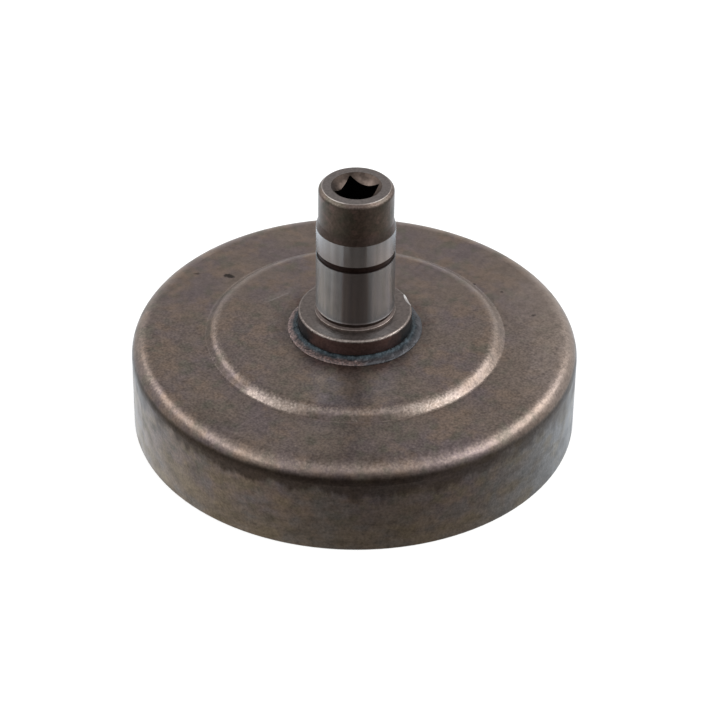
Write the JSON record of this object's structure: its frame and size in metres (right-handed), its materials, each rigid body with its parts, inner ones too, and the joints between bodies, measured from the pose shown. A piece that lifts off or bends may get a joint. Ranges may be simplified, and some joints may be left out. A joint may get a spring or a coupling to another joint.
{
  "type": "clutch drum",
  "caption": "Cup-shaped clutch drum brazed to a turned hub shaft with a ground bearing seat, a retaining-ring groove and a square drive socket; clutch shoes grip its inside wall.",
  "frame": {"origin": "centre of the open rim, in the plane that the drum stands on", "axes": "+Z along the shaft, from the open rim towards the square socket; X and Y square to the socket's flats"},
  "size_m": [0.0684, 0.0684, 0.0415],
  "materials": {
    "pressed_steel": "heat-darkened brown-grey oxide, satin",
    "turned_steel": "turned and brown-tinted, with a ground bright seat",
    "braze_metal": "grainy copper braze, heat-tinted"
  },
  "bodies": {
    "root": {"drum_cup": "pressed_steel", "hub_shaft": "turned_steel", "braze_ring": "braze_metal"}
  },
  "joints": []
}
